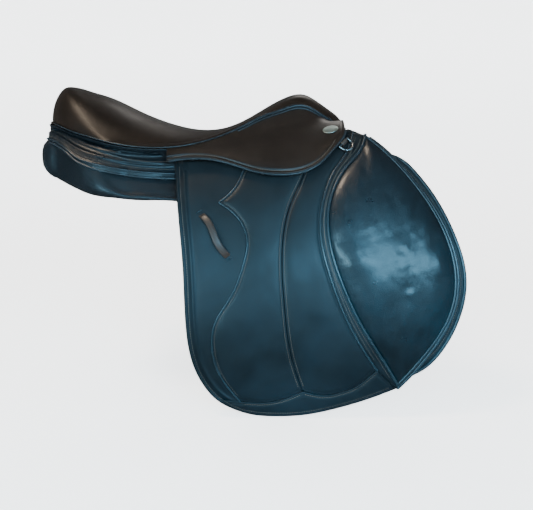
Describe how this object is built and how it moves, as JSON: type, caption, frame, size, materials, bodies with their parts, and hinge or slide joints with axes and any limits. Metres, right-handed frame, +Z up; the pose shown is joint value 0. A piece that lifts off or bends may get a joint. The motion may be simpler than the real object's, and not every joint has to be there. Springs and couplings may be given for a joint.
{
  "type": "english saddle",
  "caption": "Close-contact english jumping saddle with padded knee pads, lifting flaps and skirts, girth billets and stirrup bars.",
  "frame": {"origin": "centre plane, at the top of the channel between the panels, under the deepest point of the seat", "axes": "+X forward to the pommel, +Y to the saddle's left, +Z up"},
  "size_m": [0.6333, 0.43, 0.4774],
  "materials": {
    "seat_leather": "smooth calf, satin, waxed",
    "skirt_leather": "smooth calf, satin",
    "flap_leather": "smooth vegetable-tanned leather, satin",
    "grained_leather": "soft grained calf, glossy",
    "panel_leather": "soft calf, semi-gloss",
    "piping_leather": "rolled leather piping, glossy",
    "billet_leather": "bridle leather, waxed",
    "laminated_wood": "laminated beech, varnished",
    "foam": "open-cell foam pad, matte",
    "webbing": "woven linen webbing",
    "forged_steel": "blackened spring steel",
    "polished_steel": "polished stainless steel",
    "badge_metal": "pale enamelled oval, blank"
  },
  "bodies": {
    "root": {"seat_cover": "seat_leather", "seat_foam": "foam", "seat_webbing": "webbing", "tree_frame": "laminated_wood", "head_plate": "forged_steel", "gullet_plate": "forged_steel", "head_rivets": "forged_steel", "bar_rivets": "forged_steel", "seat_welt": "piping_leather", "channel_lining": "panel_leather", "tree_spring_right": "forged_steel", "panel_right": "panel_leather", "panel_facing_right": "seat_leather", "skirt_base_right": "skirt_leather", "rear_strip_right": "skirt_leather", "sweat_flap_right": "flap_leather", "knee_block_right": "panel_leather", "thigh_block_right": "panel_leather", "point_pocket_right": "panel_leather", "billet_webs_right": "webbing", "stirrup_bar_right": "polished_steel", "tree_spring_left": "forged_steel", "panel_left": "panel_leather", "panel_facing_left": "seat_leather", "skirt_base_left": "skirt_leather", "rear_strip_left": "skirt_leather", "sweat_flap_left": "flap_leather", "knee_block_left": "panel_leather", "thigh_block_left": "panel_leather", "point_pocket_left": "panel_leather", "billet_webs_left": "webbing", "stirrup_bar_left": "polished_steel"},
    "flap_right": {"flap_right": "flap_leather", "centre_panel_right": "flap_leather", "front_panel_right": "flap_leather", "bottom_patch_right": "flap_leather", "trim_band_right": "piping_leather", "knee_pad_right": "grained_leather", "keeper_right": "billet_leather", "dee_chape_right": "billet_leather"},
    "skirt_right": {"skirt_right": "skirt_leather", "badge_right": "badge_metal"},
    "front_billet_right": {"front_billet_right": "billet_leather"},
    "rear_billet_right": {"rear_billet_right": "billet_leather"},
    "dee_ring_right": {"dee_ring_right": "polished_steel"},
    "bar_catch_right": {"bar_catch_right": "polished_steel"},
    "flap_left": {"flap_left": "flap_leather", "centre_panel_left": "flap_leather", "front_panel_left": "flap_leather", "bottom_patch_left": "flap_leather", "trim_band_left": "piping_leather", "knee_pad_left": "grained_leather", "keeper_left": "billet_leather", "dee_chape_left": "billet_leather"},
    "skirt_left": {"skirt_left": "skirt_leather", "badge_left": "badge_metal"},
    "front_billet_left": {"front_billet_left": "billet_leather"},
    "rear_billet_left": {"rear_billet_left": "billet_leather"},
    "dee_ring_left": {"dee_ring_left": "polished_steel"},
    "bar_catch_left": {"bar_catch_left": "polished_steel"}
  },
  "joints": [
    {"name": "flap_lift_right", "type": "hinge", "parent": "root", "child": "flap_right", "pos_m": [0.087, -0.10361, 0.04478], "axis": [-0.9492, -0.2645, -0.1703], "range_deg": [0, 85]},
    {"name": "skirt_lift_right", "type": "hinge", "parent": "flap_right", "child": "skirt_right", "pos_m": [0.087, -0.10361, 0.04478], "axis": [-0.9492, -0.2645, -0.1703], "range_deg": [0, 45]},
    {"name": "front_billet_swing_right", "type": "hinge", "parent": "root", "child": "front_billet_right", "pos_m": [0.165, -0.12153, -0.012], "axis": [0, 1, 0], "range_deg": [-3.5, 3.5]},
    {"name": "rear_billet_swing_right", "type": "hinge", "parent": "root", "child": "rear_billet_right", "pos_m": [0.092, -0.12153, -0.012], "axis": [0, 1, 0], "range_deg": [-3.5, 3.5]},
    {"name": "dee_lift_right", "type": "hinge", "parent": "flap_right", "child": "dee_ring_right", "pos_m": [0.2175, -0.11503, 0.037], "axis": [-0.6558, -0.397, -0.6421], "range_deg": [0, 100]},
    {"name": "bar_catch_fold_right", "type": "hinge", "parent": "root", "child": "bar_catch_right", "pos_m": [0.09, -0.104, 0.03], "axis": [0, 1, 0], "range_deg": [0, 70]},
    {"name": "flap_lift_left", "type": "hinge", "parent": "root", "child": "flap_left", "pos_m": [0.087, 0.10361, 0.04478], "axis": [0.9492, -0.2645, 0.1703], "range_deg": [0, 85]},
    {"name": "skirt_lift_left", "type": "hinge", "parent": "flap_left", "child": "skirt_left", "pos_m": [0.087, 0.10361, 0.04478], "axis": [0.9492, -0.2645, 0.1703], "range_deg": [0, 45]},
    {"name": "front_billet_swing_left", "type": "hinge", "parent": "root", "child": "front_billet_left", "pos_m": [0.165, 0.12153, -0.012], "axis": [0, 1, 0], "range_deg": [-3.5, 3.5]},
    {"name": "rear_billet_swing_left", "type": "hinge", "parent": "root", "child": "rear_billet_left", "pos_m": [0.092, 0.12153, -0.012], "axis": [0, 1, 0], "range_deg": [-3.5, 3.5]},
    {"name": "dee_lift_left", "type": "hinge", "parent": "flap_left", "child": "dee_ring_left", "pos_m": [0.2175, 0.11503, 0.037], "axis": [0.6558, -0.397, 0.6421], "range_deg": [0, 100]},
    {"name": "bar_catch_fold_left", "type": "hinge", "parent": "root", "child": "bar_catch_left", "pos_m": [0.09, 0.104, 0.03], "axis": [0, 1, 0], "range_deg": [0, 70]}
  ]
}
